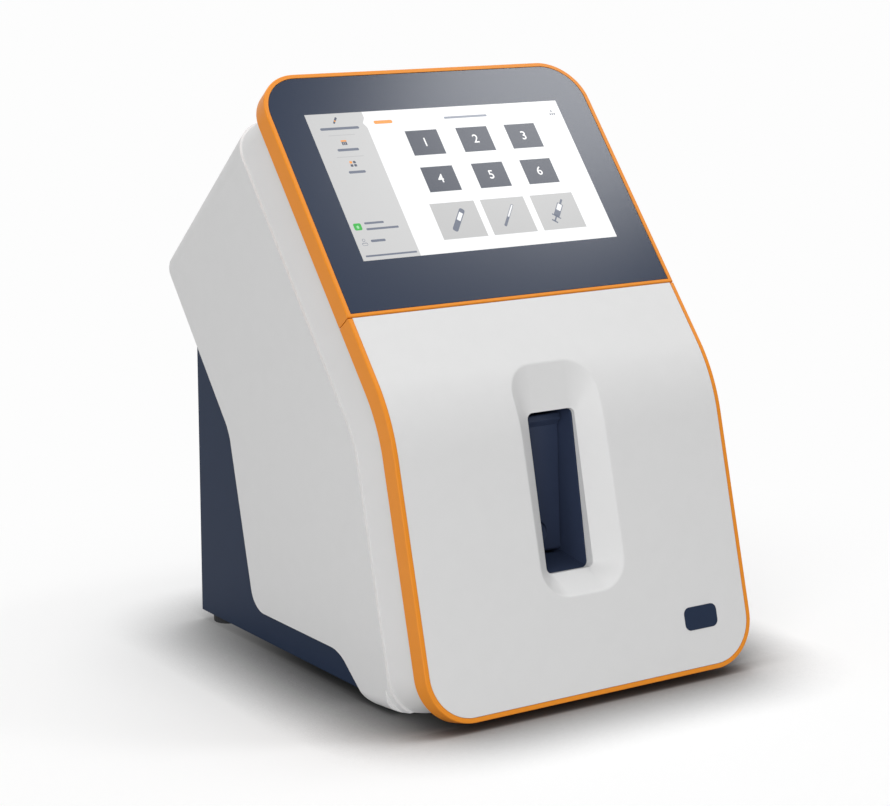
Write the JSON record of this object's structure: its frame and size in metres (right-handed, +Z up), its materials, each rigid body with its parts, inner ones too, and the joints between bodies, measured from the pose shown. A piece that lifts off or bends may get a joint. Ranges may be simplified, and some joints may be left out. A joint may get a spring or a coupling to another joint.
{
  "type": "electrolyte analyzer",
  "caption": "Benchtop electrolyte analyzer with a tilted touch screen head and a curved front door that has a scooped sample slot, over a dark base.",
  "frame": {"origin": "on the floor under the middle of the machine's footprint", "axes": "+X to the machine's right as seen from the front, +Y to its rear, +Z up"},
  "size_m": [0.1978, 0.264, 0.2975],
  "materials": {
    "orange_plastic": "satin orange moulding",
    "white_plastic": "satin white moulding",
    "grey_plastic": "matte grey moulding",
    "light_grey_plastic": "matte light grey moulding",
    "navy_plastic": "matte dark blue moulding",
    "dark_navy_plastic": "matte near black blue moulding",
    "black_plastic": "matte black moulding",
    "dark_glass": "dark tinted gloss glass",
    "steel": "plain steel",
    "aluminium": "plain aluminium",
    "rubber": "black rubber",
    "silicone": "translucent white silicone",
    "circuit_board": "green lacquered board",
    "gold_film": "gold plated contacts"
  },
  "bodies": {
    "machine": {"display_bezel": "orange_plastic", "display_glass": "dark_glass", "lcd_module": "aluminium", "display_bracket": "steel", "display_board": "circuit_board", "display_cable": "black_plastic", "shell_cover": "white_plastic", "base_tray": "navy_plastic", "rear_panel": "navy_plastic", "rubber_foot_front_left": "rubber", "rubber_foot_front_right": "rubber", "rubber_foot_rear_left": "rubber", "rubber_foot_rear_right": "rubber", "panel_screw_lower_left": "steel", "panel_screw_upper_left": "steel", "panel_screw_lower_right": "steel", "panel_screw_upper_right": "steel", "bay_frame": "light_grey_plastic", "pump_housing": "light_grey_plastic", "sensor_cartridge": "light_grey_plastic", "hinge_bracket_upper": "steel", "hinge_bracket_lower": "steel", "door_magnet": "black_plastic", "inlet_housing": "dark_navy_plastic", "inlet_pin": "steel", "sample_probe": "steel", "module_tray": "grey_plastic", "sensor_dock": "aluminium", "electrode_strip": "gold_film", "pump_motor": "steel", "pump_tube": "silicone", "sample_line": "silicone", "pack_bay": "grey_plastic", "pack_manifold": "grey_plastic", "main_board": "circuit_board", "power_supply": "aluminium", "network_port": "steel", "usb_ports": "steel", "power_inlet": "black_plastic", "switch_frame": "black_plastic"},
    "door": {"door_frame": "orange_plastic", "door_panel": "white_plastic", "door_liner": "light_grey_plastic", "badge_plate": "navy_plastic", "door_striker": "steel", "hinge_pin_upper": "steel", "hinge_pin_lower": "steel"},
    "sample_flap": {"inlet_flap": "dark_navy_plastic", "inlet_port": "silicone"},
    "lock": {"cartridge_lock": "orange_plastic"},
    "rotor": {"pump_rotor": "black_plastic"},
    "roller_1": {"pump_roller_1": "white_plastic"},
    "roller_2": {"pump_roller_2": "white_plastic"},
    "roller_3": {"pump_roller_3": "white_plastic"},
    "pack": {"fluid_pack": "white_plastic"},
    "rocker": {"switch_rocker": "rubber"}
  },
  "joints": [
    {"name": "door_hinge", "type": "hinge", "parent": "machine", "child": "door", "pos_m": [-0.0938, -0.08875, 0.14551], "axis": [0, -0.2546, -0.967], "range_deg": [0, 105]},
    {"name": "pack_slide", "type": "slide", "parent": "machine", "child": "pack", "axis": [0, -1, 0], "range_m": [0, 0.06]},
    {"name": "flap_pivot", "type": "hinge", "parent": "machine", "child": "sample_flap", "pos_m": [0, -0.07576, 0.0664], "axis": [1, 0, 0], "range_deg": [0, 40]},
    {"name": "lock_turn", "type": "hinge", "parent": "machine", "child": "lock", "pos_m": [-0.05, -0.11059, 0.08612], "axis": [0, -0.967, 0.2546], "range_deg": [0, 90]},
    {"name": "rotor_spin", "type": "hinge", "parent": "machine", "child": "rotor", "pos_m": [-0.05, -0.1195, 0.05227], "axis": [0, -0.967, 0.2546], "continuous": true},
    {"name": "roller_1_spin", "type": "hinge", "parent": "rotor", "child": "roller_1", "pos_m": [-0.05, -0.1166, 0.0633], "axis": [0, -0.967, 0.2546], "continuous": true},
    {"name": "roller_2_spin", "type": "hinge", "parent": "rotor", "child": "roller_2", "pos_m": [-0.05987, -0.12095, 0.04676], "axis": [0, -0.967, 0.2546], "continuous": true},
    {"name": "roller_3_spin", "type": "hinge", "parent": "rotor", "child": "roller_3", "pos_m": [-0.04013, -0.12095, 0.04676], "axis": [0, -0.967, 0.2546], "continuous": true},
    {"name": "rocker_tilt", "type": "hinge", "parent": "machine", "child": "rocker", "pos_m": [-0.03, 0.10202, 0.062], "axis": [1, 0, 0], "range_deg": [-18, 0]}
  ],
  "couplings": [
    {"joint": "pack_slide", "follows": "door_hinge", "m_per_rad": 0.0327}
  ]
}
